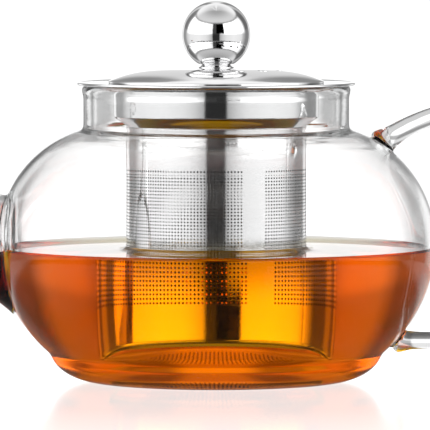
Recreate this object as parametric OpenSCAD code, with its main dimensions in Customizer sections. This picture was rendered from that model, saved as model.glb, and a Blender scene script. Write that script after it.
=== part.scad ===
// Glass teapot with a lift-out steel infuser and a domed steel lid.
// Origin: centre of the base, on the surface the pot stands on. +Z is up,
// the spout points to -X and the handle to +X. All sizes are millimetres.

/* [Pot body] */
// Widest outside diameter of the pot
body_d = 143; // [142:0.2:144]
// Height of the widest point above the table
belly_z = 45.4; // [45:0.1:45.8]
// Outside radius of the arc from the widest point up to the neck
shoulder_r = 38.5; // [38:0.1:39]
// Outside radius of the arc from the widest point down to the heel
bowl_r = 46.8; // [46.4:0.1:47.2]
// Glass thickness at the belly
glass_wall = 2; // [1.6:0.1:2.4]
// Glass thickness of the floor
floor_t = 4; // [3:0.1:5]
// Radius of the flat that the pot stands on
foot_r = 38; // [37:0.2:38.4]
// Width of the rounded heel outside that flat
heel_w = 16.5; // [16:0.1:16.8]
// Height at which the heel's curve would stand upright
heel_h = 11; // [10.6:0.1:11.4]

/* [Neck] */
// Outside diameter of the neck
neck_d = 86.8; // [85:0.2:87.2]
// Glass thickness of the neck
neck_wall = 3.2; // [2.6:0.1:3.6]
// Outside diameter of the bead round the lip
lip_d = 88; // [87.6:0.1:88.4]
// Height of the lip above the table
lip_z = 97; // [96:0.2:99]

/* [Spout] */
// Outside diameter where the spout leaves the belly
spout_root_d = 37; // [35:0.5:38]
// Outside diameter at the mouth's flared edge
spout_mouth_d = 16.4; // [14:0.2:18]
// Distance of the mouth's centre from the pot's axis
spout_reach = 104; // [98:1:110]
// Height of the mouth's centre
spout_mouth_z = 88; // [80:1:94]
// Height of the spout's root
spout_root_z = 42.4; // [42:0.2:43]
// Glass thickness of the spout
spout_wall = 1.8; // [1.5:0.1:2.1]

/* [Handle] */
// Diameter of the glass rod
rod_d = 6.6; // [6:0.1:7.2]
// Height of the rod where it meets the bowl
handle_low_z = 13.3; // [13.1:0.1:13.5]
// Distance from the axis at which the rod leaves the shoulder
handle_root_x = 53; // [52.8:0.1:53.2]
// Height at which the rod leaves the shoulder
handle_root_z = 77; // [76.8:0.1:77.2]

/* [Infuser] */
// Diameter over the rolled rim of the brim
brim_d = 90.8; // [90.8:0.1:92]
// Thickness of the steel sheet
sheet = 0.5; // [0.4:0.05:0.6]
// Outside diameter of the cup under the brim
cup_d = 66.8; // [66:0.1:68]
// Depth of the cup's straight wall below the lip
cup_depth = 10.3; // [9:0.1:11]
// Height of the cone between the cup and the basket
cone_h = 3.7; // [3:0.1:4.5]
// Outside diameter of the basket
basket_d = 58.8; // [57:0.2:59.4]
// Height of the basket's bottom above the table
basket_z = 20.4; // [14:0.2:26]

/* [Lid] */
// Diameter of the dome
lid_d = 70.4; // [69.8:0.1:71.4]
// Height of the dome above its rim
dome_rise = 4.3; // [3.6:0.1:5]
// Depth of the ring that keeps the lid central
skirt_depth = 6.5; // [5:0.1:8]
// Number of steam vents
vent_n = 3; // [1:1:6]
// Diameter of a steam vent
vent_d = 2.8; // [2:0.1:3.4]
// Distance of the vents from the axis
vent_r = 21.5; // [18:0.5:24]

/* [Knob] */
// Diameter of the ball
ball_d = 22.2; // [20:0.2:24]
// Diameter of the collar under the ball
collar_d = 11.6; // [10:0.2:12]
// Height of the collar
collar_h = 1.3; // [1.2:0.1:2]
// Thread diameter of the screw that holds the knob
screw_d = 4; // [3:0.5:5]

/* [Hidden] */
$fn = 96;
arc_steps = 14;
dome_steps = 16;
corner_steps = 4;
spout_sides = 28;
spout_rings = 16;
eps = 0.01;

body_r = body_d / 2;
shoulder_x = body_r - shoulder_r;
bowl_x = body_r - bowl_r;
belly_seam = 2;
neck_r = neck_d / 2;
bore_r = neck_r - neck_wall;
lip_r = lip_d / 2;
lip_round = 1;
bead_h = 2.4;
heel_top_z = 8.7;
heel_seam = 0.4;
bowl_top_z = 24;
shoulder_low_z = 66;
neck_low_z = 82.4;

spout_bore_r = spout_root_d / 2 - spout_wall;
opening_l = 12;
spout_root_x = body_r - 5.3;
spout_lean = 62;
spout_taper = 1.75;
spout_bow = 0.15;
spout_climb = 0.65;
spout_turn = 1.6;
spout_flare = 0.7;
spout_flare_power = 14;
spout_throat_r = spout_mouth_d / 2 - spout_flare;

rod_r = rod_d / 2;
rod_start_heading = 38;
rod_rise_r = 60;
rod_rise_heading = 14;
rod_shoulder_r = 25;
rod_back_heading = -78;
rod_back_r = 80;
rod_under_heading = -102;
rod_sides = 20;
gentle_steps = 6;
tight_steps = 12;
shoulder_face = 58;
bowl_face = -222;
handle_low_x = 57.9;

rim_r = 0.55;
brim_r = brim_d / 2;
cup_r = cup_d / 2;
cup_low_z = lip_z - cup_depth;
cone_low_z = cup_low_z - cone_h;
basket_r = basket_d / 2;
sleeve_depth = 5;
base_corner_r = 1.6;
base_rim_h = 2.5;

lid_z = lip_z + sheet;
lid_r = lid_d / 2;
lid_sheet = 0.6;
hem_w = 1.8;
skirt_gap = 0.35;
skirt_t = 0.4;
weld = 0.15;
apex_z = lid_z + lid_sheet + dome_rise;
vent_first = 20;
vent_step = 25;

ball_r = ball_d / 2;
collar_r = collar_d / 2;
ball_sink = ball_r - sqrt(pow(ball_r, 2) - pow(collar_r, 2));
ball_z = apex_z + collar_h - ball_sink + ball_r;
screw_r = screw_d / 2;
screw_hole_r = screw_r + 0.15;
screw_depth = 8;
screw_head_r = screw_r * 1.8;
screw_head_h = 1.8;
ball_flat_z = apex_z + collar_h;

glass = [0.86, 0.93, 0.95, 0.4];
steel = [0.78, 0.79, 0.8];
mesh_steel = [0.68, 0.69, 0.7];

// ---- glass pot --------------------------------------------------------------

// A stretch of an arc of the belly: its centre is at radius x, at the height of the widest point.
function belly_arc(x, r, from, to) = [for (i = [0:arc_steps])
    let (a = from + (to - from) * i / arc_steps) [x + r * cos(a), belly_z + r * sin(a)]];

// Angles on such an arc, at a given height below the widest point or a given radius above it.
function angle_at_height(z, r) = -asin((belly_z - z) / r);
function angle_at_radius(at, x, r) = acos((at - x) / r);

// The heel's quarter ellipse, from the flat up to where the bowl's arc takes over.
function heel_arc() =
    let (last = asin((heel_top_z - heel_h) / heel_h))
    [for (i = [0:arc_steps]) let (a = -90 + (last + 90) * i / arc_steps)
        [foot_r + heel_w * cos(a), heel_h + heel_h * sin(a)]];

module outer_profile() {
    polygon(concat(
        [[0, 0]],
        heel_arc(),
        belly_arc(bowl_x, bowl_r, angle_at_height(heel_top_z + heel_seam, bowl_r), 0),
        belly_arc(shoulder_x, shoulder_r, belly_seam, angle_at_radius(neck_r, shoulder_x, shoulder_r)),
        [[neck_r, lip_z - bead_h - lip_round], [lip_r, lip_z - bead_h], [lip_r, lip_z - lip_round],
            [lip_r - lip_round, lip_z], [0, lip_z]]));
}

module cavity_profile() {
    low_r = bowl_r - glass_wall;
    high_r = shoulder_r - glass_wall;
    polygon(concat(
        [[0, floor_t]],
        belly_arc(bowl_x, low_r, angle_at_height(floor_t, low_r), 0),
        belly_arc(shoulder_x, high_r, belly_seam, angle_at_radius(bore_r, shoulder_x, high_r)),
        [[bore_r, lip_z - lip_round], [bore_r + lip_round, lip_z + eps], [0, lip_z + eps]]));
}

// A level ring of the blown glass, from one height to another. The rings meet face to face.
module glass_ring(from, to) {
    color(glass) rotate_extrude() intersection() {
        difference() {
            outer_profile();
            cavity_profile();
        }
        translate([0, from]) square([body_r, to - from]);
    }
}

// The opening that feeds the spout.
module spout_opening() {
    translate([-spout_root_x - opening_l / 2, 0, spout_root_z]) rotate([0, 90, 0])
        cylinder(h = opening_l, r = spout_bore_r);
}

// Thick floor with the rounded heel under it.
module glass_floor() {
    glass_ring(0, floor_t);
}

// Foot of the bowl, where the handle's lower end is fused on.
module glass_bowl() {
    glass_ring(floor_t, bowl_top_z);
}

// Belly below its widest point, with the lower part of the opening.
module glass_lower_belly() {
    color(glass) difference() {
        glass_ring(bowl_top_z, belly_z);
        spout_opening();
    }
}

// Belly above its widest point, with the upper part of the opening.
module glass_upper_belly() {
    color(glass) difference() {
        glass_ring(belly_z, shoulder_low_z);
        spout_opening();
    }
}

// Shoulder, where the handle's upper end is fused on.
module glass_shoulder() {
    glass_ring(shoulder_low_z, neck_low_z);
}

// Straight neck with a beaded lip.
module glass_neck() {
    glass_ring(neck_low_z, lip_z);
}

// Centre line of the spout, in the XZ plane: 0 at the belly, 1 at the mouth.
function spout_x(t) =
    -spout_root_x - (spout_reach - spout_root_x) * ((1 + spout_bow) * t - spout_bow * t * t);
function spout_z(t) =
    spout_root_z + (spout_mouth_z - spout_root_z) * ((1 - spout_climb) * t + spout_climb * t * t);
function spout_heading(t) = 180 - spout_lean * (1 - pow(1 - t, spout_turn));
function spout_r(t) =
    spout_throat_r + (spout_root_d / 2 - spout_throat_r) * pow(1 - t, spout_taper)
    + spout_flare * pow(t, spout_flare_power);

// Ring of points round [x, z] in the XZ plane, square to the heading. A face angle away from the
// heading slants the ring, so that an end can lie along a wall.
function ring(p, heading, r, sides, face) = [for (i = [0:sides - 1])
    let (a = 360 * i / sides, up = r * sin(a), along = -up * tan(face - heading))
    [p[0] - up * sin(heading) + along * cos(heading), r * cos(a),
        p[1] + up * cos(heading) + along * sin(heading)]];

// Triangles between consecutive rings, numbered from base.
function skin(rings, sides, base) = [for (j = [0:rings - 2], i = [0:sides - 1])
    let (a = base + j * sides + i, b = base + j * sides + (i + 1) % sides)
    each [[a, a + sides, b], [b, a + sides, b + sides]]];

function flipped(faces) = [for (f = faces) [f[0], f[2], f[1]]];

// Tapered tube, fused over the opening in the belly.
module spout() {
    function rings(inset) = [for (j = [0:spout_rings]) let (t = j / spout_rings)
        each ring([spout_x(t), spout_z(t)], spout_heading(t), spout_r(t) - inset, spout_sides,
            spout_heading(t))];
    inner_first = (spout_rings + 1) * spout_sides;
    last = spout_rings * spout_sides;
    ends = [for (i = [0:spout_sides - 1]) let (n = (i + 1) % spout_sides)
        each [[i, n, inner_first + i], [n, inner_first + n, inner_first + i],
            [last + i, inner_first + last + i, last + n],
            [last + n, inner_first + last + i, inner_first + last + n]]];
    color(glass) polyhedron(
        points = concat(rings(0), rings(spout_wall)),
        faces = concat(skin(spout_rings + 1, spout_sides, 0),
            flipped(skin(spout_rings + 1, spout_sides, inner_first)), ends));
}

// Where an arc of the rod ends: it starts at p and turns clockwise from one heading to another.
function arc_end(p, r, from, to) = p + r * [sin(from) - sin(to), cos(to) - cos(from)];

// Rings along one bend of the rod, without its last one.
function rod_bend(p, r, from, to, steps, face) = [for (i = [0:steps - 1])
    let (heading = from + (to - from) * i / steps)
    each ring(arc_end(p, r, from, heading), heading, rod_r, rod_sides, i == 0 ? face : heading)];

// Drawn glass rod, bent into an ear and fused to the shoulder and the bowl.
module handle() {
    root = [handle_root_x, handle_root_z];
    rise = arc_end(root, rod_rise_r, rod_start_heading, rod_rise_heading);
    back = arc_end(rise, rod_shoulder_r, rod_rise_heading, rod_back_heading);
    under = arc_end(back, rod_back_r, rod_back_heading, rod_under_heading);
    turn_r = (under[1] - handle_low_z) / (1 + cos(rod_under_heading));
    low = arc_end(under, turn_r, rod_under_heading, -180);
    low_root = [handle_low_x, handle_low_z];
    rings = concat(
        rod_bend(root, rod_rise_r, rod_start_heading, rod_rise_heading, gentle_steps, shoulder_face),
        rod_bend(rise, rod_shoulder_r, rod_rise_heading, rod_back_heading, tight_steps, rod_rise_heading),
        rod_bend(back, rod_back_r, rod_back_heading, rod_under_heading, gentle_steps, rod_back_heading),
        rod_bend(under, turn_r, rod_under_heading, -180, tight_steps, rod_under_heading),
        ring(low, -180, rod_r, rod_sides, -180),
        ring(low_root, -180, rod_r, rod_sides, bowl_face));
    count = len(rings) / rod_sides;
    caps = [[for (i = [0:rod_sides - 1]) i],
        [for (i = [rod_sides - 1:-1:0]) (count - 1) * rod_sides + i]];
    color(glass) polyhedron(points = rings, faces = concat(skin(count, rod_sides, 0), caps));
}

// ---- steel infuser ----------------------------------------------------------

// Pressed collar: rolled brim that hangs on the lip, cup for the lid, cone and inner sleeve.
module infuser_collar() {
    sleeve_r = basket_r - sheet;
    color(steel) {
        rotate_extrude() polygon([[cup_r - sheet, lip_z + sheet], [brim_r - rim_r, lip_z + sheet],
            [brim_r - rim_r, lip_z], [cup_r, lip_z], [cup_r, cup_low_z],
            [sleeve_r, cone_low_z], [sleeve_r, cone_low_z - sleeve_depth],
            [sleeve_r - sheet, cone_low_z - sleeve_depth], [sleeve_r - sheet, cone_low_z + sheet / 2],
            [cup_r - sheet, cup_low_z + sheet / 2]]);
        rotate_extrude() translate([brim_r - rim_r, lip_z + sheet / 2]) circle(r = rim_r);
    }
}

// Rolled basket wall, welded round the collar's sleeve.
module basket_wall() {
    low_z = basket_z + base_corner_r;
    color(mesh_steel) translate([0, 0, low_z]) difference() {
        cylinder(h = cone_low_z - low_z, r = basket_r);
        translate([0, 0, -eps]) cylinder(h = cone_low_z - low_z + 2 * eps, r = basket_r - sheet);
    }
}

// Shallow pan that closes the basket: a rounded corner under the wall, and a rim inside it.
module basket_base() {
    pan_r = basket_r - sheet;
    inner_corner_r = base_corner_r - sheet;
    corner_x = basket_r - base_corner_r;
    color(mesh_steel) translate([0, 0, basket_z]) rotate_extrude() polygon(concat(
        [[0, 0]],
        [for (i = [0:corner_steps]) let (a = -90 + 90 * i / corner_steps)
            [corner_x + base_corner_r * cos(a), base_corner_r + base_corner_r * sin(a)]],
        [[pan_r, base_corner_r], [pan_r, base_rim_h], [pan_r - sheet, base_rim_h]],
        [for (i = [0:corner_steps]) let (a = -90 * i / corner_steps)
            [corner_x - sheet + inner_corner_r * cos(a), base_corner_r + inner_corner_r * sin(a)]],
        [[0, sheet]]));
}

// ---- lid --------------------------------------------------------------------

// Height of the dome's upper face at radius r.
function dome_z(r) = apex_z - dome_rise * pow(r / lid_r, 4);

// Pressed dome with a folded hem and steam vents.
module lid_dome() {
    hem_r = lid_r - hem_w;
    top = [for (i = [0:dome_steps]) let (r = lid_r * i / dome_steps) [r, dome_z(r)]];
    under = [for (i = [0:dome_steps]) let (r = hem_r * (1 - i / dome_steps)) [r, dome_z(r) - lid_sheet]];
    color(steel) difference() {
        rotate_extrude() polygon(concat(top, [[lid_r, lid_z], [hem_r, lid_z]], under));
        for (i = [0:vent_n - 1]) rotate([0, 0, -vent_first - vent_step * i])
            translate([vent_r, 0, lid_z]) cylinder(h = dome_rise * 2, r = vent_d / 2);
        translate([0, 0, lid_z]) cylinder(h = dome_rise * 2, r = screw_hole_r);
    }
}

// Ring under the dome that keeps the lid central in the cup.
module lid_skirt() {
    skirt_r = cup_r - sheet - skirt_gap;
    top_z = dome_z(skirt_r) - lid_sheet + weld;
    color(steel) translate([0, 0, lid_z - skirt_depth]) difference() {
        cylinder(h = top_z - lid_z + skirt_depth, r = skirt_r);
        translate([0, 0, -eps])
            cylinder(h = top_z - lid_z + skirt_depth + 2 * eps, r = skirt_r - skirt_t);
    }
}

// Collar that the ball stands on.
module knob_collar() {
    color(steel) translate([0, 0, apex_z]) difference() {
        cylinder(h = collar_h, r = collar_r);
        translate([0, 0, -eps]) cylinder(h = collar_h + 2 * eps, r = screw_hole_r);
    }
}

// Ball with a flat under it and a blind threaded hole.
module knob_ball() {
    color(steel) difference() {
        translate([0, 0, ball_z]) sphere(r = ball_r);
        translate([0, 0, ball_flat_z - ball_r]) cylinder(h = ball_r, r = ball_r);
        translate([0, 0, ball_flat_z - eps]) cylinder(h = screw_depth + eps, r = screw_r);
    }
}

// Pan-head screw, up through the dome and the collar into the ball.
module knob_screw() {
    seat_z = apex_z - lid_sheet;
    color(steel) {
        translate([0, 0, seat_z - screw_head_h]) cylinder(h = screw_head_h, r = screw_head_r);
        translate([0, 0, seat_z - eps])
            cylinder(h = ball_flat_z + screw_depth - seat_z + eps, r = screw_r);
    }
}

glass_floor();
glass_bowl();
glass_lower_belly();
glass_upper_belly();
glass_shoulder();
glass_neck();
spout();
handle();
infuser_collar();
basket_wall();
basket_base();
lid_dome();
lid_skirt();
knob_collar();
knob_ball();
knob_screw();
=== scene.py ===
"""Glass teapot with a steel infuser and lid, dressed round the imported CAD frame. Metres, +Z up."""

import math

import bmesh
import bpy
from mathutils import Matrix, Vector


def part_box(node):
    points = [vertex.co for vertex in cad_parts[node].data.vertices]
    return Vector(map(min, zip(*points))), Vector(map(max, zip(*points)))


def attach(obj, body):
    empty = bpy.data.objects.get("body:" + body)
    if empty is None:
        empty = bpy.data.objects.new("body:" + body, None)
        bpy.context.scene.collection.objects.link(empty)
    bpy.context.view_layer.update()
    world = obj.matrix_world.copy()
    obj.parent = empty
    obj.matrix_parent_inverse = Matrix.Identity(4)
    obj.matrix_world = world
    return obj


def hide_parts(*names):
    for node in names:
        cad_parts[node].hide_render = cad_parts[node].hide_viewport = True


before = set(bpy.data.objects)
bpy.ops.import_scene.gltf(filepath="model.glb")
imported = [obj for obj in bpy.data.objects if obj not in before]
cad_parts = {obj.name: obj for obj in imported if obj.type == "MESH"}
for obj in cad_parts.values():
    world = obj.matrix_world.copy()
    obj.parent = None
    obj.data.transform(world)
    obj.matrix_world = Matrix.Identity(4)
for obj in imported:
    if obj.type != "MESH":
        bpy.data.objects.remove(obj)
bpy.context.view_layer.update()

MM = 0.001
TAU = 2 * math.pi

# ---- places and sizes taken from the frame ------------------------------------


def half_width(node):
    """Radius of a turned or round piece, from its box."""
    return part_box(node)[1][1]


def bottom(node):
    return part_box(node)[0][2]


def top(node):
    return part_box(node)[1][2]


BODY_R = half_width("glass_lower_belly")
BELLY_Z = top("glass_lower_belly")
LIP_Z = top("glass_neck")
ROD_R = half_width("handle")
BRIM_R = half_width("infuser_collar")
BASKET_R = half_width("basket_wall")
BASKET_WALL_Z = bottom("basket_wall")
CONE_LOW_Z = top("basket_wall")
BASKET_Z = bottom("basket_base")
PAN_RIM_Z = top("basket_base")
DOME_R = half_width("lid_dome")
HEM_Z = bottom("lid_dome")
APEX_Z = top("lid_dome")
SKIRT_R = half_width("lid_skirt")
SKIRT_LOW_Z, SKIRT_HIGH_Z = bottom("lid_skirt"), top("lid_skirt")
STEM_R = half_width("knob_collar")
STEM_LOW_Z, STEM_HIGH_Z = bottom("knob_collar"), top("knob_collar")
BALL_R = half_width("knob_ball")
BALL_FLAT_Z = bottom("knob_ball")
BALL_Z = top("knob_ball") - BALL_R

GLASS_RINGS = (
    "glass_floor", "glass_bowl", "glass_lower_belly", "glass_upper_belly", "glass_shoulder",
    "glass_neck",
)

# ---- sizes that a box doesn't show, as in the design ---------------------------

# Outside arcs of the belly, above and below its widest point.
SHOULDER_ARC = 38.5 * MM
BOWL_ARC = 46.8 * MM
# Where the shoulder's arc starts above the widest point, in radians.
BELLY_SEAM = 0.03
WALL = 2 * MM
FLOOR_T = 4 * MM
FOOT_R = 38 * MM
HEEL_W = 16.5 * MM
HEEL_H = 11 * MM
HEEL_TOP_Z = 8.7 * MM
HEEL_SEAM = 0.4 * MM
NECK_R = 43.4 * MM
NECK_WALL = 3.2 * MM
LIP_R = 44 * MM
LIP_ROUND = 1 * MM
BEAD_H = 2.4 * MM

SPOUT_ROOT = Vector((-66.2, 0, 42.4)) * MM
SPOUT_MOUTH = Vector((-104, 0, 88)) * MM
SPOUT_ROOT_R = 18.5 * MM
SPOUT_THROAT_R = 7.5 * MM
SPOUT_WALL = 1.8 * MM
SPOUT_LEAN = math.radians(62)
SPOUT_BOW = 0.15
SPOUT_CLIMB = 0.65
SPOUT_TURN = 1.6
SPOUT_TAPER = 1.75
SPOUT_FLARE = 0.7 * MM
SPOUT_FLARE_POWER = 14
# About the distance from the root to the mouth.
SPOUT_LENGTH = 59 * MM

ROD_TOP = (53 * MM, 77 * MM)
ROD_FOOT = (57.9 * MM, 13.3 * MM)
# Each bend of the rod: its radius in mm, its headings in degrees, and its steps.
ROD_BENDS = ((60, 38, 14, 26), (25, 14, -78, 40), (80, -78, -102, 20))

SHEET = 0.5 * MM
CUP_R = 33.4 * MM
CUP_DEPTH = 10.3 * MM
SLEEVE_DEPTH = 5 * MM
RIM_R = 0.55 * MM

LID_SHEET = 0.6 * MM
DOME_RISE = 4.3 * MM
HEM_W = 1.8 * MM
SKIRT_T = 0.4 * MM
SCREW_R = 2 * MM
SCREW_DEPTH = 8 * MM
SCREW_HOLE_R = 2.15 * MM
VENTS = 3
VENT_AT_R = 21.5 * MM
VENT_R = 1.4 * MM
VENT_FIRST, VENT_STEP = math.radians(20), math.radians(25)

# ---- sizes of what only this script makes --------------------------------------

TEA_Z = 43 * MM
MENISCUS_RISE = 1.3 * MM
MENISCUS_REACH = 1.3 * MM

PITCH = 1.09 * MM
HOLE_R = 0.32 * MM
ROWS = 36
TOP_ROW_Z = 69.7 * MM
SEAM_FROM, SEAM_TO = math.radians(16.8), math.radians(31.7)

# ---- the pot's outline ------------------------------------------------------------


def belly_arc(radius, start, end, steps=60):
    """Stretch of the belly's arc, which is centred at the widest point's height. Radians."""
    centre = BODY_R - (SHOULDER_ARC if end > 0 else BOWL_ARC)
    angles = [start + (end - start) * i / steps for i in range(steps + 1)]
    return [(centre + radius * math.cos(a), BELLY_Z + radius * math.sin(a)) for a in angles]


def angle_at_height(z, radius):
    """Angle on such an arc at a height below the widest point."""
    return -math.asin((BELLY_Z - z) / radius)


def angle_at_radius(at, radius):
    """Angle on the shoulder's arc at a distance from the axis."""
    return math.acos((at - BODY_R + SHOULDER_ARC) / radius)


def heel_curve(steps=30):
    """Quarter ellipse from the foot's flat up to where the bowl's arc takes over."""
    last = math.asin((HEEL_TOP_Z - HEEL_H) / HEEL_H)
    angles = [-math.pi / 2 + (last + math.pi / 2) * i / steps for i in range(steps + 1)]
    return [(FOOT_R + HEEL_W * math.cos(a), HEEL_H + HEEL_H * math.sin(a)) for a in angles]


def outer_line():
    """The pot's outside, from the middle of the foot to the lip."""
    return (
        [(0, 0)]
        + heel_curve()
        + belly_arc(BOWL_ARC, angle_at_height(HEEL_TOP_Z + HEEL_SEAM, BOWL_ARC), 0)
        + belly_arc(SHOULDER_ARC, BELLY_SEAM, angle_at_radius(NECK_R, SHOULDER_ARC))
        + [(NECK_R, LIP_Z - BEAD_H - LIP_ROUND), (LIP_R, LIP_Z - BEAD_H)]
        + [(LIP_R, LIP_Z - LIP_ROUND), (LIP_R - LIP_ROUND, LIP_Z)]
    )


def cavity_line(grow=0.0):
    """The pot's inside, from the middle of the floor to the lip, moved out by grow."""
    low = BOWL_ARC - WALL + grow
    high = SHOULDER_ARC - WALL + grow
    bore = NECK_R - NECK_WALL + grow
    floor_z = FLOOR_T - grow
    return (
        [(0, floor_z)]
        + belly_arc(low, angle_at_height(floor_z, low), 0)
        + belly_arc(high, BELLY_SEAM, angle_at_radius(bore, high))
        + [(bore, LIP_Z - LIP_ROUND), (bore + LIP_ROUND, LIP_Z)]
    )


# ---- line tools -------------------------------------------------------------------


def resample(line, spacing):
    """Points along a line at an even spacing, with its two ends kept."""
    lengths = [0.0]
    for a, b in zip(line, line[1:]):
        lengths.append(lengths[-1] + math.dist(a, b))
    count = max(2, round(lengths[-1] / spacing))
    made = []
    j = 0
    for i in range(count + 1):
        want = lengths[-1] * i / count
        while j < len(line) - 2 and lengths[j + 1] < want:
            j += 1
        span = lengths[j + 1] - lengths[j] or 1.0
        t = (want - lengths[j]) / span
        made.append(tuple(a + (b - a) * t for a, b in zip(line[j], line[j + 1])))
    return made


def averaged(p, q, r):
    """The point q, drawn halfway towards the middle of its two neighbours."""
    return tuple((a + 2 * b + c) / 4 for a, b, c in zip(p, q, r))


def eased(line, passes):
    """Rounds a line's corners; the two ends stay."""
    for _ in range(passes):
        inner = [averaged(p, q, r) for p, q, r in zip(line, line[1:], line[2:])]
        line = [line[0]] + inner + [line[-1]]
    return line


def bend_between(p, q, r, s):
    """Angle between the stretch from p to q and the stretch from r to s, without its sign."""
    a = math.atan2(q[1] - p[1], q[0] - p[0])
    b = math.atan2(s[1] - r[1], s[0] - r[0])
    return abs((b - a + math.pi) % TAU - math.pi)


def thinned(line):
    """Keeps a glass outline's points close where it bends and far apart where it is gentle."""
    fine, coarse, turn_per_point = 0.5 * MM, 1.6 * MM, 0.05
    kept = [line[0]]
    run = 0.0
    for p, q, r in zip(line, line[1:], line[2:]):
        run += math.dist(p, q)
        bend = bend_between(p, q, q, r) / max(math.dist(q, r), 1e-9)
        if run >= max(fine, min(coarse, turn_per_point / max(bend, 1e-6))):
            kept.append(q)
            run = 0.0
    return kept + [line[-1]]


def smoothstep(low, high, value):
    t = min(max((value - low) / (high - low), 0.0), 1.0)
    return t * t * (3 - 2 * t)


# ---- mesh tools -------------------------------------------------------------------


def shade_smooth(bm, sharp_angle=None):
    """Smooth shading; given an angle in degrees, edges that bend more than that stay crisp."""
    for face in bm.faces:
        face.smooth = True
    if sharp_angle is None:
        return
    limit = math.radians(sharp_angle)
    for edge in bm.edges:
        edge.smooth = not (len(edge.link_faces) == 2 and edge.calc_face_angle(0) > limit)


def new_object(name, bm, sharp_angle=None):
    """Smooth shaded object from a bmesh, which is used up."""
    bmesh.ops.recalc_face_normals(bm, faces=bm.faces)
    shade_smooth(bm, sharp_angle)
    mesh = bpy.data.meshes.new(name)
    bm.to_mesh(mesh)
    bm.free()
    made = bpy.data.objects.new(name, mesh)
    bpy.context.scene.collection.objects.link(made)
    return made


def circle(bm, r, z, sides, x=0.0, y=0.0):
    """Level ring of vertices round a point."""
    angles = [TAU * i / sides for i in range(sides)]
    return [bm.verts.new((x + r * math.cos(a), y + r * math.sin(a), z)) for a in angles]


def add_rings(bm, rings, closed_line=False):
    """Quads between rings of equal length; a ring of one vertex is a pole."""
    pairs = list(zip(rings, rings[1:])) + ([(rings[-1], rings[0])] if closed_line else [])
    for a, b in pairs:
        n = max(len(a), len(b))
        for i in range(n):
            j = (i + 1) % n
            if len(a) == 1:
                bm.faces.new((a[0], b[i], b[j]))
            elif len(b) == 1:
                bm.faces.new((a[i], b[0], a[j]))
            else:
                bm.faces.new((a[i], b[i], b[j], a[j]))


def lathe(name, line, segments=192, closed_line=False, sharp_angle=None):
    """Turned piece. An open line starts and ends on the axis; a closed one is a ring's section."""
    bm = bmesh.new()
    on_axis = 1e-7
    rings = []
    for r, z in line:
        rings.append([bm.verts.new((0, 0, z))] if r < on_axis else circle(bm, r, z, segments))
    add_rings(bm, rings, closed_line)
    return new_object(name, bm, sharp_angle)


def sweep_solid(name, stations, sides):
    """Closed round bar in the XZ plane: each station is (x, z, heading, radius)."""
    bm = bmesh.new()
    rings = []
    for x, z, heading, radius in stations:
        ring = []
        for i in range(sides):
            a = TAU * i / sides
            up = radius * math.sin(a)
            place = (x - up * math.sin(heading), radius * math.cos(a), z + up * math.cos(heading))
            ring.append(bm.verts.new(place))
        rings.append(ring)
    first, last = [[bm.verts.new((s[0], 0, s[1]))] for s in (stations[0], stations[-1])]
    add_rings(bm, [first] + rings + [last])
    return new_object(name, bm)


def combine(base, tool, operation):
    """Boolean of two closed objects; the tool is used up."""
    modifier = base.modifiers.new(operation, "BOOLEAN")
    modifier.operation = operation
    modifier.object = tool
    modifier.solver = "EXACT"
    graph = bpy.context.evaluated_depsgraph_get()
    mesh = bpy.data.meshes.new_from_object(base.evaluated_get(graph))
    mesh.materials.clear()
    base.modifiers.clear()
    base.data = mesh
    bpy.data.objects.remove(tool, do_unlink=True)
    return base


def mend(bm):
    """Closes the pinholes and slivers that a boolean leaves."""
    bmesh.ops.remove_doubles(bm, verts=bm.verts, dist=0.01 * MM)
    bmesh.ops.dissolve_degenerate(bm, edges=bm.edges, dist=0.001 * MM)
    open_edges = [edge for edge in bm.edges if len(edge.link_faces) == 1]
    bmesh.ops.holes_fill(bm, edges=open_edges, sides=12)


def melt(obj, near, passes):
    """Melts a joint together: evens out the vertices for which near(co) is above 0."""
    bm = bmesh.new()
    bm.from_mesh(obj.data)
    mend(bm)
    chosen = [(v, near(v.co)) for v in bm.verts]
    chosen = [(v, w) for v, w in chosen if w > 0]
    for _ in range(passes):
        moves = []
        for v, w in chosen:
            around = [e.other_vert(v).co for e in v.link_edges]
            mean = sum(around, Vector()) / len(around)
            moves.append(v.co.lerp(mean, 0.5 * w))
        for (v, _), co in zip(chosen, moves):
            v.co = co
    bmesh.ops.recalc_face_normals(bm, faces=bm.faces)
    shade_smooth(bm)
    bm.to_mesh(obj.data)
    bm.free()


# ---- node tools -------------------------------------------------------------------


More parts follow.
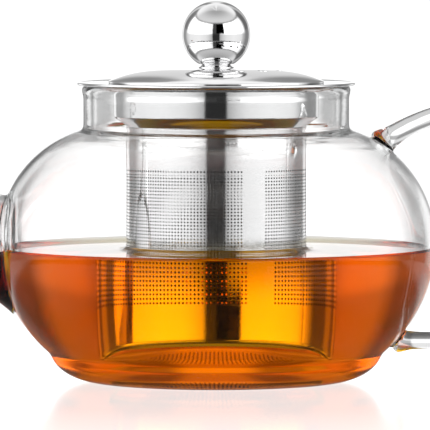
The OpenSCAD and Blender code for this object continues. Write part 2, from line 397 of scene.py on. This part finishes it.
class Nodes:
    """Small helper for a node tree: makes nodes, sets sockets and links them."""

    def __init__(self, tree):
        self.tree = tree
        tree.nodes.clear()

    def add(self, kind, **sockets):
        """New node with its sockets set; an underscore stands for a space in a socket's name."""
        node = self.tree.nodes.new(kind)
        for key, value in sockets.items():
            node.inputs[key.replace("_", " ")].default_value = value
        return node

    def link(self, a, b):
        self.tree.links.new(a, b)

    def calculate(self, operation, *values):
        """Arithmetic on numbers and other nodes' outputs."""
        node = self.add("ShaderNodeMath")
        node.operation = operation
        for socket, value in zip(node.inputs, values):
            if isinstance(value, (int, float)):
                socket.default_value = value
            else:
                self.link(value, socket)
        return node.outputs[0]

    def product(self, a, b):
        return self.calculate("MULTIPLY", a, b)

    def ranged(self, value, low, high, to_low, to_high, kind="LINEAR"):
        """Maps low..high to to_low..to_high, and holds the ends beyond."""
        node = self.add("ShaderNodeMapRange", From_Min=low, From_Max=high, To_Min=to_low, To_Max=to_high)
        node.interpolation_type = kind
        self.link(value, node.inputs["Value"])
        return node.outputs["Result"]

    def smooth(self, value, low, high, to_low, to_high):
        """The same, with a soft start and end."""
        return self.ranged(value, low, high, to_low, to_high, "SMOOTHSTEP")

    def ramp(self, value, stops):
        """Grey level by value, through stops of (value, level)."""
        node = self.add("ShaderNodeValToRGB")
        elements = node.color_ramp.elements
        for _ in stops[2:]:
            elements.new(0.5)
        for element, (position, level) in zip(elements, stops):
            element.position = position
            element.color = (level, level, level, 1)
        self.link(value, node.inputs[0])
        return node.outputs[0]

    def axes(self, vector):
        node = self.add("ShaderNodeSeparateXYZ")
        self.link(vector, node.inputs[0])
        return node.outputs


class Material(Nodes):
    """A material round one Principled shader, placed by the object's own coordinates."""

    def __init__(self, name, **sockets):
        self.material = bpy.data.materials.new(name)
        self.material.use_nodes = True
        super().__init__(self.material.node_tree)
        self.out = self.add("ShaderNodeOutputMaterial")
        self.shader = self.add("ShaderNodeBsdfPrincipled", **sockets)
        self.link(self.shader.outputs[0], self.out.inputs["Surface"])
        self.place = self.add("ShaderNodeTexCoord").outputs["Object"]

    def noise(self, scale, detail, roughness=0.5, stretch=(1, 1, 1)):
        mapping = self.add("ShaderNodeMapping", Scale=stretch)
        self.link(self.place, mapping.inputs["Vector"])
        node = self.add("ShaderNodeTexNoise", Scale=scale, Detail=detail, Roughness=roughness)
        self.link(mapping.outputs[0], node.inputs["Vector"])
        return node.outputs["Fac"]

    def bump(self, height, strength, distance):
        node = self.add("ShaderNodeBump", Strength=strength, Distance=distance)
        self.link(height, node.inputs["Height"])
        self.link(node.outputs[0], self.shader.inputs["Normal"])

    def absorb(self, colour, density):
        tint = self.add("ShaderNodeVolumeAbsorption", Color=colour, Density=density)
        self.link(tint.outputs[0], self.out.inputs["Volume"])


# ---- materials --------------------------------------------------------------------


def transparent(name, ior, tint):
    """Smooth clear material; tint scales its mirror reflection."""
    return Material(
        name, Base_Color=(1, 1, 1, 1), Roughness=0, Transmission_Weight=1, IOR=ior,
        Specular_Tint=(tint, tint, tint, 1),
    )


def clear_glass():
    """Blown borosilicate: nearly colourless, with the faint waves that hand work leaves."""
    n = transparent("borosilicate_glass", 1.474, 0.25)
    # Slow waves all over, and tighter rings where the shoulder was drawn up into the neck.
    drawn = n.ranged(n.axes(n.place)["Z"], 70 * MM, 82 * MM, 0, 0.5)
    rings = n.product(n.noise(30, 2, 0.5, (0.5, 0.5, 6)), drawn)
    n.bump(n.calculate("ADD", n.noise(26, 1, 0.4, (1, 1, 0.5)), rings), 0.3, 2 * MM)
    n.absorb((0.86, 0.95, 0.93, 1), 6)
    return n.material


def brewed_tea():
    """Clear amber liquid that deepens with the length of the light's way through it."""
    n = transparent("brewed_tea", 1.333, 0.1)
    n.absorb((0.9833, 0.846, 0.0, 1), 120)
    return n.material


def steel(name, metallic, tones, tone_scale, roughness, grain, relief):
    """Stainless steel: its tone and polish vary a little, over a fine grain round the piece."""
    n = Material(name, Metallic=metallic)
    tone = n.add("ShaderNodeMix")
    tone.data_type = "RGBA"
    colour_a, colour_b = [socket for socket in tone.inputs if socket.type == "RGBA"]
    colour_a.default_value, colour_b.default_value = tones
    n.link(n.noise(tone_scale, 3), tone.inputs["Factor"])
    n.link(tone.outputs[2], n.shader.inputs["Base Color"])
    n.link(n.ranged(n.noise(180, 4, 0.6), 0, 1, *roughness), n.shader.inputs["Roughness"])
    n.bump(n.noise(900, 2, 0.5, (1, 1, grain)), relief, 0.2 * MM)
    return n.material


def polished_steel():
    """Mirror-polished stainless of the collar, the lid and the knob, with faint haze."""
    tones = ((0.74, 0.74, 0.745, 1), (0.8, 0.8, 0.8, 1))
    return steel("mirror_steel", 1, tones, 60, (0.025, 0.06), 3, 0.04)


def satin_steel():
    """Bright sheet of the basket's outside, a little softer than the polished parts."""
    tones = ((0.82, 0.82, 0.825, 1), (0.88, 0.88, 0.88, 1))
    return steel("satin_sheet_steel", 0.96, tones, 60, (0.04, 0.09), 7, 0.04)


def shaded_dull_steel():
    """The basket's unpolished inside and pierced edges; their dark colour is painted shade inside the
    basket and in its holes.
    """
    tones = ((0.16, 0.15, 0.14, 1), (0.26, 0.25, 0.24, 1))
    return steel("dull_sheet_steel_painted_shade", 0.8, tones, 90, (0.3, 0.45), 5, 0.06)


# ---- glass pot --------------------------------------------------------------------


def spout_station(t, inset=0.0):
    """The spout's centre line, heading and radius, from the belly at 0 to the mouth at 1."""
    reach = SPOUT_MOUTH.x - SPOUT_ROOT.x
    climb = SPOUT_MOUTH.z - SPOUT_ROOT.z
    left = max(1 - t, 0)
    x = SPOUT_ROOT.x + reach * ((1 + SPOUT_BOW) * t - SPOUT_BOW * t * t)
    z = SPOUT_ROOT.z + climb * ((1 - SPOUT_CLIMB) * t + SPOUT_CLIMB * t * t)
    heading = math.pi - SPOUT_LEAN * (1 - left ** SPOUT_TURN)
    radius = SPOUT_THROAT_R + (SPOUT_ROOT_R - SPOUT_THROAT_R) * left ** SPOUT_TAPER
    radius += SPOUT_FLARE * t ** SPOUT_FLARE_POWER
    return x, z, heading, radius - inset


def spout_outside():
    """Solid bar of the spout's outside, with a weld flare at the root and a rounded mouth."""
    steps, crowding = 90, 1.15
    weld_w, weld_length = 2.2 * MM, 0.07
    lip, lip_share = 0.7 * MM, 0.9
    stations = []
    for i in range(steps + 1):
        t = (i / steps) ** crowding
        x, z, heading, radius = spout_station(t)
        weld = weld_w * math.exp(-t / weld_length)
        to_mouth = (1 - t) * SPOUT_LENGTH
        rounding = lip - math.sqrt(max(lip ** 2 - max(lip - to_mouth, 0) ** 2, 0))
        stations.append((x, z, heading, radius + weld - rounding * lip_share))
    return sweep_solid("spout_outside", stations, 72)


def spout_channel(grow=0.0):
    """Solid bar of the spout's bore, from inside the bowl to beyond the mouth."""
    steps, crowding = 80, 1.1
    flare, flare_length = 0.8 * MM, 0.5 * MM
    stations = []
    x, z, heading, radius = spout_station(0, SPOUT_WALL - grow)
    # The bore opens out into the bowl: how far back, and how much wider, in mm.
    for back, wider in ((8, 2.6), (4, 1.9), (2, 1.2), (1, 0.7)):
        stations.append((x + back * MM, z, heading, radius + wider * MM))
    for i in range(steps + 1):
        t = (i / steps) ** crowding
        x, z, heading, radius = spout_station(t, SPOUT_WALL - grow)
        to_mouth = (1 - t) * SPOUT_LENGTH
        stations.append((x, z, heading, radius + flare * math.exp(-to_mouth / flare_length)))
    ahead = 3 * MM
    beyond = (x + ahead * math.cos(heading), z + ahead * math.sin(heading))
    stations.append((*beyond, heading, radius + 1 * MM))
    return sweep_solid("spout_channel", stations, 72)


def arc_end(point, radius, start, end):
    """Where an arc ends that starts at point and turns clockwise from one heading to another."""
    return (
        point[0] + radius * (math.sin(start) - math.sin(end)),
        point[1] + radius * (math.cos(end) - math.cos(start)),
    )


def rod_bend(point, radius, start, end, steps):
    """Points of such an arc, each (x, z, heading), without its last one."""
    headings = [start + (end - start) * i / steps for i in range(steps)]
    return [(*arc_end(point, radius, start, heading), heading) for heading in headings]


def rod_line():
    """The rod's centre line, from the shoulder round to the bowl: each point (x, z, heading)."""
    line = []
    point = ROD_TOP
    for radius, start, end, steps in ROD_BENDS:
        start, end = math.radians(start), math.radians(end)
        line += rod_bend(point, radius * MM, start, end, steps)
        point = arc_end(point, radius * MM, start, end)
    foot_x, foot_z = ROD_FOOT
    start, end = math.radians(ROD_BENDS[-1][2]), -math.pi
    radius = (point[1] - foot_z) / (1 + math.cos(start))
    line += rod_bend(point, radius, start, end, 44)
    point = arc_end(point, radius, start, end)
    line.append((*point, end))
    steps = 16
    for i in range(1, steps + 1):
        line.append((point[0] + (foot_x - point[0]) * i / steps, foot_z, end))
    return line


def handle_stations():
    """The rod, drawn a little thinner away from the shoulder, with a melted foot at each end."""
    foot_w, foot_sunk, foot_length = 1.5 * MM, 2 * MM, 2.2 * MM
    inside, drawn_thinner, drawn_length = 0.02 * MM, 0.5 * MM, 30 * MM
    line = rod_line()
    lengths = [0.0]
    for a, b in zip(line, line[1:]):
        lengths.append(lengths[-1] + math.dist(a[:2], b[:2]))
    stations = []
    for (x, z, heading), along in zip(line, lengths):
        ends = (along - foot_sunk, lengths[-1] - along - foot_sunk)
        foot = foot_w * sum(math.exp(-max(end, 0) / foot_length) for end in ends)
        taper = drawn_thinner * smoothstep(0, drawn_length, along)
        stations.append((x, z, heading, ROD_R - inside - taper + foot))
    return stations


def near_spout(co):
    """1 on the seam between the spout and the belly, 0 well away from it."""
    if co.x > -55 * MM:
        return 0
    # The outer seam is the spout's own width, and the bore's edge is a wall narrower.
    off = math.hypot(co.y, co.z - SPOUT_ROOT.z)
    edge = abs(off - (SPOUT_ROOT_R if co.length > BODY_R else SPOUT_ROOT_R - SPOUT_WALL))
    deep = abs(math.hypot(co.x, co.y) - BODY_R)
    return (1 - smoothstep(2 * MM, 4.5 * MM, edge)) * (1 - smoothstep(4 * MM, 8 * MM, deep))


def near_rod(co):
    """1 where the rod is welded on, just outside its two ends, and 0 well away from there."""
    welds = (Vector((54, 0, 78)) * MM, Vector((59, 0, 13.3)) * MM)
    away = min((co - weld).length for weld in welds)
    return 1 - smoothstep(4.5 * MM, 7.5 * MM, away)


def glass_pot():
    """The blown pot with its spout and its handle, all one piece of glass."""
    outside = eased(resample(outer_line(), 0.5 * MM), 6)
    inside = eased(resample(cavity_line(), 0.5 * MM), 6)
    lip = eased(resample([outside[-1], inside[-1]], 0.3 * MM), 2)
    pot = lathe("glass_pot", thinned(outside) + lip[1:-1] + thinned(inside)[::-1])
    pot = combine(pot, spout_outside(), "UNION")
    pot = combine(pot, spout_channel(), "DIFFERENCE")
    pot = combine(pot, sweep_solid("rod", handle_stations(), 40), "UNION")
    melt(pot, near_spout, 10)
    melt(pot, near_rod, 4)
    pot.data.materials.append(clear_glass())
    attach(pot, "pot")
    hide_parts(*GLASS_RINGS, "spout", "handle")


# ---- tea --------------------------------------------------------------------------


def air_above_tea():
    """A block whose underside is the tea's surface: level, and curling up at the walls."""
    wall_r = BODY_R - WALL
    widest, top_z = 110 * MM, TEA_Z + 60 * MM
    finest, coarsest, growth = 0.25 * MM, 4 * MM, 0.3
    segments = 192
    # The rings are close together near the basket and the glass, where the surface curls.
    radii = [0.0]
    while radii[-1] < widest:
        gap = min(abs(radii[-1] - BASKET_R), abs(radii[-1] - wall_r))
        radii.append(radii[-1] + max(finest, min(coarsest, gap * growth)))
    bm = bmesh.new()
    rings = [[bm.verts.new((0, 0, TEA_Z))]]
    for r in radii[1:]:
        ring = circle(bm, r, TEA_Z, segments)
        for v in ring:
            # The surface runs level into the spout.
            in_spout = 1 - smoothstep(14 * MM, 18 * MM, abs(v.co.y)) if v.co.x < 0 else 0
            curl = math.exp(-abs(r - BASKET_R) / MENISCUS_REACH)
            curl += (1 - in_spout) * math.exp(-abs(r - wall_r) / MENISCUS_REACH)
            v.co.z = TEA_Z + MENISCUS_RISE * curl
        rings.append(ring)
    outer = [bm.verts.new((v.co.x, v.co.y, top_z)) for v in rings[-1]]
    add_rings(bm, rings + [outer, [bm.verts.new((0, 0, top_z))]])
    return new_object("air", bm)


def tea():
    """The bowl's and the spout's hollow below the level. It reaches a little way into the glass,
    so that no film of air shows between them."""
    overlap = 0.12 * MM
    line = eased(resample(cavity_line(overlap), 0.5 * MM), 6)
    line = thinned([p for p in line if p[1] < TEA_Z + 8 * MM])
    drink = lathe("tea", line + [(0, line[-1][1])])
    drink = combine(drink, spout_channel(overlap), "UNION")
    drink = combine(drink, air_above_tea(), "DIFFERENCE")
    bm = bmesh.new()
    bm.from_mesh(drink.data)
    shade_smooth(bm, 35)
    bm.to_mesh(drink.data)
    bm.free()
    drink.data.materials.append(brewed_tea())
    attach(drink, "pot")


# ---- steel ------------------------------------------------------------------------


def section(points, corner=0.12 * MM, spacing=0.1 * MM):
    """Closed section line with its corners softened."""
    sharpest, longest = 0.12, 2.2 * MM
    line = resample(points + [points[0]], spacing)[:-1]
    for _ in range(max(1, round((corner / spacing) ** 2))):
        n = len(line)
        line = [averaged(line[i - 1], line[i], line[(i + 1) % n]) for i in range(n)]
    kept = [line[0]]
    for q, r in zip(line[1:], line[2:]):
        if bend_between(kept[-1], q, q, r) > sharpest or math.dist(kept[-1], q) > longest:
            kept.append(q)
    return kept


def steel_piece(name, line, node, body, material, segments=160):
    """Turned ring that stands for one CAD node."""
    piece = lathe(name, line, segments, True)
    piece.data.materials.append(material)
    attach(piece, body)
    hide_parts(node)


def infuser_collar(material):
    """Brim with a rolled rim, cup, cone and sleeve, all from one sheet."""
    cup_z = LIP_Z - CUP_DEPTH
    sleeve_r = BASKET_R - SHEET
    sleeve_low_z = CONE_LOW_Z - SLEEVE_DEPTH
    ease = 0.3 * MM
    roll_r, roll_z = BRIM_R - RIM_R, LIP_Z + SHEET / 2
    steps = 14
    roll = []
    for i in range(steps + 1):
        a = math.radians(150 - 300 * i / steps)
        roll.append((roll_r + RIM_R * math.cos(a), roll_z + RIM_R * math.sin(a)))
    points = (
        [(CUP_R - SHEET, LIP_Z + SHEET)]
        + roll
        + [(CUP_R, LIP_Z), (CUP_R, cup_z), (sleeve_r + ease, CONE_LOW_Z)]
        + [(sleeve_r, CONE_LOW_Z - ease), (sleeve_r, sleeve_low_z)]
        + [(sleeve_r - SHEET, sleeve_low_z), (sleeve_r - SHEET, CONE_LOW_Z + SHEET / 2)]
        + [(CUP_R - SHEET, cup_z + SHEET / 2)]
    )
    steel_piece(
        "infuser_collar_steel", section(points, 0.25 * MM), "infuser_collar", "infuser", material,
    )


def dome_height(r):
    return APEX_Z - DOME_RISE * (r / DOME_R) ** 4


def vent_cutter(angle):
    """Round bar for one steam vent, wider at the top where the sheet's edge is softened."""
    x, y = VENT_AT_R * math.cos(angle), VENT_AT_R * math.sin(angle)
    # Each ring's height over the sheet and how much wider it is than the vent, in mm.
    levels = ((-4, 0), (-0.62, 0), (-0.5, 0), (-0.15, 0), (0, 0.1), (4, 2.6))
    bm = bmesh.new()
    rings = []
    for up, wider in levels:
        rings.append(circle(bm, VENT_R + wider * MM, dome_height(VENT_AT_R) + up * MM, 32, x, y))
    low, high = [[bm.verts.new((x, y, ring[0].co.z))] for ring in (rings[0], rings[-1])]
    add_rings(bm, [low] + rings + [high])
    return new_object("vent", bm)


def lid_dome(material):
    """Pressed dome with a folded hem, its steam vents and the screw's hole cut through."""
    hem_r = DOME_R - HEM_W
    steps = 48
    over = [SCREW_HOLE_R + (DOME_R - SCREW_HOLE_R) * i / steps for i in range(steps + 1)]
    under = [hem_r + (SCREW_HOLE_R - hem_r) * i / steps for i in range(steps + 1)]
    points = (
        [(r, dome_height(r)) for r in over]
        + [(DOME_R, HEM_Z), (hem_r, HEM_Z)]
        + [(r, dome_height(r) - LID_SHEET) for r in under]
    )
    dome = lathe("lid_dome_steel", section(points, 0.16 * MM), 160, True)
    for i in range(VENTS):
        dome = combine(dome, vent_cutter(-VENT_FIRST - VENT_STEP * i), "DIFFERENCE")
    dome.data.materials.append(material)
    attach(dome, "lid")
    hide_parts("lid_dome")


def lid_skirt(material):
    """Ring under the dome, its lower edge turned in a little."""
    r, low, high = SKIRT_R, SKIRT_LOW_Z, SKIRT_HIGH_Z
    turned_in, turned_h = 0.2 * MM, 0.6 * MM
    points = [(r, high), (r, low + turned_h), (r - turned_in, low), (r - SKIRT_T - turned_in, low)]
    points += [(r - SKIRT_T, low + turned_h), (r - SKIRT_T, high)]
    steel_piece(
        "lid_skirt_steel", section(points, 0.14 * MM), "lid_skirt", "lid", material,
    )


def knob_ball(material):
    """Ball with a flat underneath and a blind hole for the screw."""
    flat = math.asin(min(1.0, (BALL_Z - BALL_FLAT_Z) / BALL_R))
    deep = BALL_FLAT_Z + SCREW_DEPTH
    drill_tip, flat_ease = 0.6 * MM, 0.3 * MM
    steps = 72
    arc = []
    for i in range(steps):
        a = -flat + (math.pi / 2 + flat) * i / steps
        arc.append((BALL_R * math.cos(a), BALL_Z + BALL_R * math.sin(a)))
    hole = [(0, deep + drill_tip), (SCREW_R, deep), (SCREW_R, BALL_FLAT_Z)]
    line = hole + [(arc[0][0] - flat_ease, BALL_FLAT_Z)] + arc + [(0, BALL_Z + BALL_R)]
    ball = lathe("knob_ball_steel", line, 128, False, 50)
    ball.data.materials.append(material)
    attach(ball, "lid")
    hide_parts("knob_ball")


def knob_collar(material):
    """Collar under the ball: a thin foot that narrows in a hollow curve to a waist."""
    low, high = STEM_LOW_Z, STEM_HIGH_Z
    foot_h, waist = 0.3 * MM, 1.1 * MM
    steps = 24
    cove = []
    for i in range(steps + 1):
        a = math.pi / 2 * i / steps
        up = (high - low - foot_h) * (1 - math.cos(a))
        cove.append((STEM_R - waist * math.sin(a), low + foot_h + up))
    points = [(SCREW_HOLE_R, low), (STEM_R, low)] + cove + [(SCREW_HOLE_R, high)]
    steel_piece(
        "knob_collar_steel", section(points), "knob_collar", "lid", material,
    )


# ---- perforated basket ------------------------------------------------------------


def pierced_grid(bm, columns, rows, place, is_hole, closed):
    """Sheet of square cells; a pierced cell has a six-sided hole. place(u, v, side) gives a point
    on the sheet's outer (side 0) or inner (side 1) face, with u and v counted in cells. Inner
    faces and hole edges take the second material."""
    corners = {}

    def corner(i, j, side):
        key = (i % columns if closed else i, j, side)
        if key not in corners:
            corners[key] = bm.verts.new(place(i, j, side))
        return corners[key]

    def add_face(verts, side):
        bm.faces.new(verts if side == 0 else verts[::-1]).material_index = side

    share = HOLE_R / PITCH
    hexagon = [TAU * k / 6 for k in range(6)]
    for i in range(columns):
        for j in range(rows):
            rims = []
            for side in (0, 1):
                quad = [corner(i, j, side), corner(i + 1, j, side)]
                quad += [corner(i + 1, j + 1, side), corner(i, j + 1, side)]
                if not is_hole(i, j):
                    add_face(quad, side)
                    continue
                rim = []
                for a in hexagon:
                    u, v = i + 0.5 + share * math.cos(a), j + 0.5 + share * math.sin(a)
                    rim.append(bm.verts.new(place(u, v, side)))
                rims.append(rim)
                faces = (
                    (quad[1], rim[0], rim[5]), (quad[1], quad[2], rim[0]), (quad[2], rim[1], rim[0]),
                    (quad[2], rim[2], rim[1]), (quad[2], quad[3], rim[2]), (quad[3], rim[3], rim[2]),
                    (quad[3], quad[0], rim[3]), (quad[0], rim[4], rim[3]), (quad[0], rim[5], rim[4]),
                    (quad[0], quad[1], rim[5]),
                )
                for face in faces:
                    add_face(face, side)
            if rims:
                for k in range(6):
                    m = (k + 1) % 6
                    bm.faces.new((rims[0][k], rims[0][m], rims[1][m], rims[1][k])).material_index = 1
    return corner


def basket_piece(name, bm, node, outside, inside):
    """Object for one piece of the basket."""
    piece = new_object(name, bm, 40)
    piece.data.materials.append(outside)
    # The inside material is painted shade: dark on the basket's inner faces and hole edges.
    piece.data.materials.append(inside)
    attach(piece, "infuser")
    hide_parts(node)


def basket_wall(outside, inside):
    """Rolled sheet, pierced in a square grid but for the seam, with plain bands above and below."""
    columns = round(TAU * BASKET_R / PITCH)
    low_z = TOP_ROW_Z - (ROWS - 0.5) * PITCH
    high_z = low_z + ROWS * PITCH
    clear, edge_ease = 0.05 * MM, 0.12 * MM
    radii = (BASKET_R, BASKET_R - SHEET + clear)

    def place(u, v, side):
        a = TAU * u / columns - math.pi / 2
        return radii[side] * math.cos(a), radii[side] * math.sin(a), low_z + v * PITCH

    def is_hole(i, j):
        a = (TAU * (i + 0.5) / columns) % TAU
        return not SEAM_FROM < a < SEAM_TO

    bm = bmesh.new()
    corner = pierced_grid(bm, columns, ROWS, place, is_hole, True)
    # Each plain band: the row it starts from, that row's height, the sheet's edge, and its side.
    bands = ((0, low_z, BASKET_WALL_Z, -1), (ROWS, high_z, CONE_LOW_Z - clear, 1))
    for j, near_z, edge_z, up in bands:
        heights = (near_z + (edge_z - near_z) * 0.5, edge_z - up * edge_ease)
        loops = []
        for side in (0, 1):
            rings = [[corner(i, j, side) for i in range(columns)]]
            for z in heights:
                rings.append([bm.verts.new((v.co.x, v.co.y, z)) for v in rings[0]])
            add_rings(bm, rings)
            loops.append(rings[-1])
        crest = []
        for a, b in zip(*loops):
            middle = (a.co + b.co) / 2
            crest.append(bm.verts.new((middle.x, middle.y, edge_z)))
        add_rings(bm, [loops[0], crest, loops[1]])
    basket_piece("basket_wall_steel", bm, "basket_wall", outside, inside)


def basket_base(outside, inside):
    """Shallow pan: a pierced disc, a rounded corner under the wall and a rim inside it."""
    corner_r = BASKET_WALL_Z - BASKET_Z
    inner_r = corner_r - SHEET
    corner_x = BASKET_R - corner_r
    pierced_r = 0.7 * corner_x
    half = math.ceil(BASKET_R / PITCH)
    levels = (BASKET_Z, BASKET_Z + SHEET)
    segments = 128

    def place(u, v, side):
        return (u - half) * PITCH, (v - half) * PITCH, levels[side]

    def is_hole(i, j):
        return math.hypot(i + 0.5 - half, j + 0.5 - half) * PITCH < pierced_r

    bm = bmesh.new()
    pierced_grid(bm, 2 * half, 2 * half, place, is_hole, False)
    beyond = [f for f in bm.faces if f.calc_center_median().xy.length > pierced_r + 0.7 * PITCH]
    bmesh.ops.delete(bm, geom=beyond, context="FACES")
    # A plain disc on each face joins the pierced middle to the corner's first ring.
    open_edges = [e for e in bm.edges if len(e.link_faces) == 1]
    rims = []
    for level in levels:
        rim = circle(bm, corner_x, level, segments)
        rim_edges = [bm.edges.new((rim[i], rim[(i + 1) % segments])) for i in range(segments)]
        inner = [e for e in open_edges if all(abs(v.co.z - level) < 1e-6 for v in e.verts)]
        bmesh.ops.triangle_fill(bm, use_beauty=True, edges=inner + rim_edges)
        rims.append(rim)
    # Section of the corner and the rim, from the disc's outside round to its inside. Heights are
    # above the pan's underside.
    bends = [math.radians(-90 + 90 * i / 6) for i in range(1, 7)]
    rim_h = PAN_RIM_Z - BASKET_Z
    rim_low = rim_h - 0.1 * MM
    line = [(corner_x + corner_r * math.cos(a), corner_r + corner_r * math.sin(a)) for a in bends]
    line += [(BASKET_R - 0.95 * SHEET, corner_r + 0.05 * MM), (BASKET_R - SHEET, corner_r + 0.1 * MM)]
    line += [(BASKET_R - SHEET, rim_low), (BASKET_R - 1.5 * SHEET, rim_h)]
    line += [(BASKET_R - 2 * SHEET, rim_low)]
    for a in bends[::-1]:
        line.append((corner_x - SHEET + inner_r * math.cos(a), corner_r + inner_r * math.sin(a)))
    line.append((corner_x - SHEET, SHEET))
    between = [circle(bm, r, BASKET_Z + up, segments) for r, up in line]
    add_rings(bm, [rims[0]] + between + [rims[1]])
    basket_piece("basket_base_steel", bm, "basket_base", outside, inside)


# ---- studio -----------------------------------------------------------------------


def floor():
    """White acrylic sheet, glossy near the pot and matt further out. Its brightness is mostly painted
    light: a glow that is dimmer near the pot, as painted shade, and brighter further out. Past the
    table's edge only the camera sees it, so that the softboxes still light the pot from below."""
    size, sunk, table_r = 12, 0.05 * MM, 0.34
    fade_from, fade_to = 0.12, 0.27
    bm = bmesh.new()
    corners = [(-size, -size), (size, -size), (size, size), (-size, size)]
    bm.faces.new([bm.verts.new((x, y, -sunk)) for x, y in corners])
    made = new_object("studio_floor", bm)
    # The dark base colour leaves the floor's white to the painted glow set below.
    n = Material(
        "white_acrylic_painted_glow", Base_Color=(0.12, 0.12, 0.12, 1), Roughness=0.12,
        Emission_Color=(1, 1, 1, 1),
    )
    to_camera = n.add("ShaderNodeLightPath").outputs["Is Camera Ray"]
    length = n.add("ShaderNodeVectorMath")
    length.operation = "LENGTH"
    n.link(n.place, length.inputs[0])
    away = length.outputs["Value"]
    # Painted light: it glows for the camera, dimmer near the pot as painted shade. Painted pools of
    # light glow behind the pot, and under the foot as if lit through the tea.
    seen = n.product(to_camera, n.ranged(away, fade_from, fade_to, 0.68, 0.95))
    behind = n.ranged(n.axes(n.place)["Y"], 70 * MM, 110 * MM, 0, 0.5)
    under = n.ranged(away, FOOT_R, 1.2 * FOOT_R, 0.35, 0)
    glow = n.calculate("MAXIMUM", seen, n.calculate("MAXIMUM", behind, under))
    n.link(glow, n.shader.inputs["Emission Strength"])
    n.link(n.ranged(away, fade_from, fade_to, 0.5, 0), n.shader.inputs["Specular IOR Level"])
    there = n.calculate("MAXIMUM", to_camera, n.calculate("LESS_THAN", away, table_r))
    mix = n.add("ShaderNodeMixShader")
    n.link(there, mix.inputs[0])
    n.link(n.add("ShaderNodeBsdfTransparent").outputs[0], mix.inputs[1])
    n.link(n.shader.outputs[0], mix.inputs[2])
    n.link(mix.outputs[0], n.out.inputs["Surface"])
    made.data.materials.append(n.material)


def studio_world():
    """White room: a bright backdrop, a softbox on each front side and a dark gap between them.
    The camera itself sees white everywhere."""
    world = bpy.data.worlds.new("studio")
    bpy.context.scene.world = world
    world.use_nodes = True
    n = Nodes(world.node_tree)
    x, y, z = n.axes(n.add("ShaderNodeTexCoord").outputs["Generated"])
    degrees = 180 / math.pi
    # Angle round the pot: 0 at the camera's side, +90 towards the handle, -90 towards the spout.
    turn = n.product(n.calculate("ARCTAN2", x, n.product(y, -1)), degrees)
    lift = n.product(n.calculate("ARCSINE", z), degrees)
    wide = n.calculate("ABSOLUTE", turn)

    # Brightness level with the pot, by that angle.
    around = (
        (-180, 1.3), (-175, 1.25), (-172, 0.5), (-165, 0.45), (-161, 1.15), (-152, 1.15),
        (-145, 0.38), (-128, 0.38), (-116, 0.8), (-100, 1.05), (-62, 1.12), (-36, 1), (-24, 0.8),
        (-14, 0.52), (-11.5, 0.03), (10.5, 0.03), (13, 0.52), (24, 0.8), (36, 1), (62, 1.12),
        (88, 1.05), (97, 0.95), (104, 0.65), (122, 0.27), (144, 0.3), (151, 0.95), (160, 0.95),
        (164, 0.45), (172, 0.5), (175, 1.25), (180, 1.3),
    )
    stops = [((angle + 180) / 360, level) for angle, level in around]
    level = n.ramp(n.calculate("ADD", n.calculate("DIVIDE", turn, 360), 0.5), stops)

    # Above the pot the gap is wider, on the handle's side.
    high_gap = n.product(n.smooth(lift, 3, 7, 0, 1), n.smooth(wide, 26, 28, 1, 0))
    high_gap = n.product(high_gap, n.calculate("GREATER_THAN", turn, 0))
    level = n.product(level, n.calculate("SUBTRACT", 1, high_gap))

    # How that changes with the height: the front boxes end below the ceiling.
    front = n.smooth(wide, 108, 124, 1, 0)
    box_gain = n.product(n.smooth(lift, 0, 8, 1, 2.5), n.smooth(lift, 34, 42, 1, 0.1))
    back_gain = n.product(n.smooth(lift, 5, 9, 1, 0.63), n.smooth(lift, 28, 45, 1, 1.4))
    back = n.product(n.calculate("SUBTRACT", 1, front), back_gain)
    walls = n.product(level, n.calculate("ADD", n.product(front, box_gain), back))
    ceiling = n.product(n.smooth(lift, 36, 46, 0, 1), n.smooth(lift, 46, 85, 0.85, 0.48))
    ceiling = n.product(ceiling, n.smooth(wide, 90, 130, 1, 1.4))

    light = n.calculate("MAXIMUM", walls, ceiling)
    to_camera = n.add("ShaderNodeLightPath").outputs["Is Camera Ray"]
    shade = n.add("ShaderNodeBackground", Color=(1, 1, 1, 1))
    n.link(n.calculate("MAXIMUM", light, to_camera), shade.inputs["Strength"])
    n.link(shade.outputs[0], n.add("ShaderNodeOutputWorld").inputs["Surface"])


def camera():
    """Long lens, a little above the lid, looking slightly down."""
    distance, height, left = 2.0, 0.159, 0.4 * MM
    aim_z, view_w = 54.3 * MM, 140.3 * MM
    data = bpy.data.cameras.new("camera")
    data.sensor_width = 36
    data.lens = data.sensor_width * distance / view_w
    data.clip_end = 50
    made = bpy.data.objects.new("camera", data)
    bpy.context.scene.collection.objects.link(made)
    made.location = (-left, -distance, height)
    down = math.atan((height - aim_z) / distance)
    made.rotation_euler = (math.pi / 2 - down, 0, 0)
    bpy.context.scene.camera = made


def render_settings():
    """Plain colours, and many bounces: light crosses glass and tea often in the spout's root."""
    scene = bpy.context.scene
    scene.view_settings.view_transform = "Standard"
    scene.cycles.max_bounces = 48
    scene.cycles.transmission_bounces = 44
    scene.cycles.glossy_bounces = 12
    scene.cycles.transparent_max_bounces = 16
    # Guided by colour alone, the denoiser keeps the perforations sharp behind the glass.
    scene.cycles.denoising_input_passes = "RGB"


mirror = polished_steel()
satin = satin_steel()
dull_and_shaded = shaded_dull_steel()
glass_pot()
tea()
infuser_collar(mirror)
basket_wall(satin, dull_and_shaded)
basket_base(satin, dull_and_shaded)
lid_dome(mirror)
lid_skirt(mirror)
knob_ball(mirror)
knob_collar(mirror)
for slot in bpy.data.objects["knob_screw"].material_slots:
    slot.material = mirror

floor()
studio_world()
camera()
render_settings()
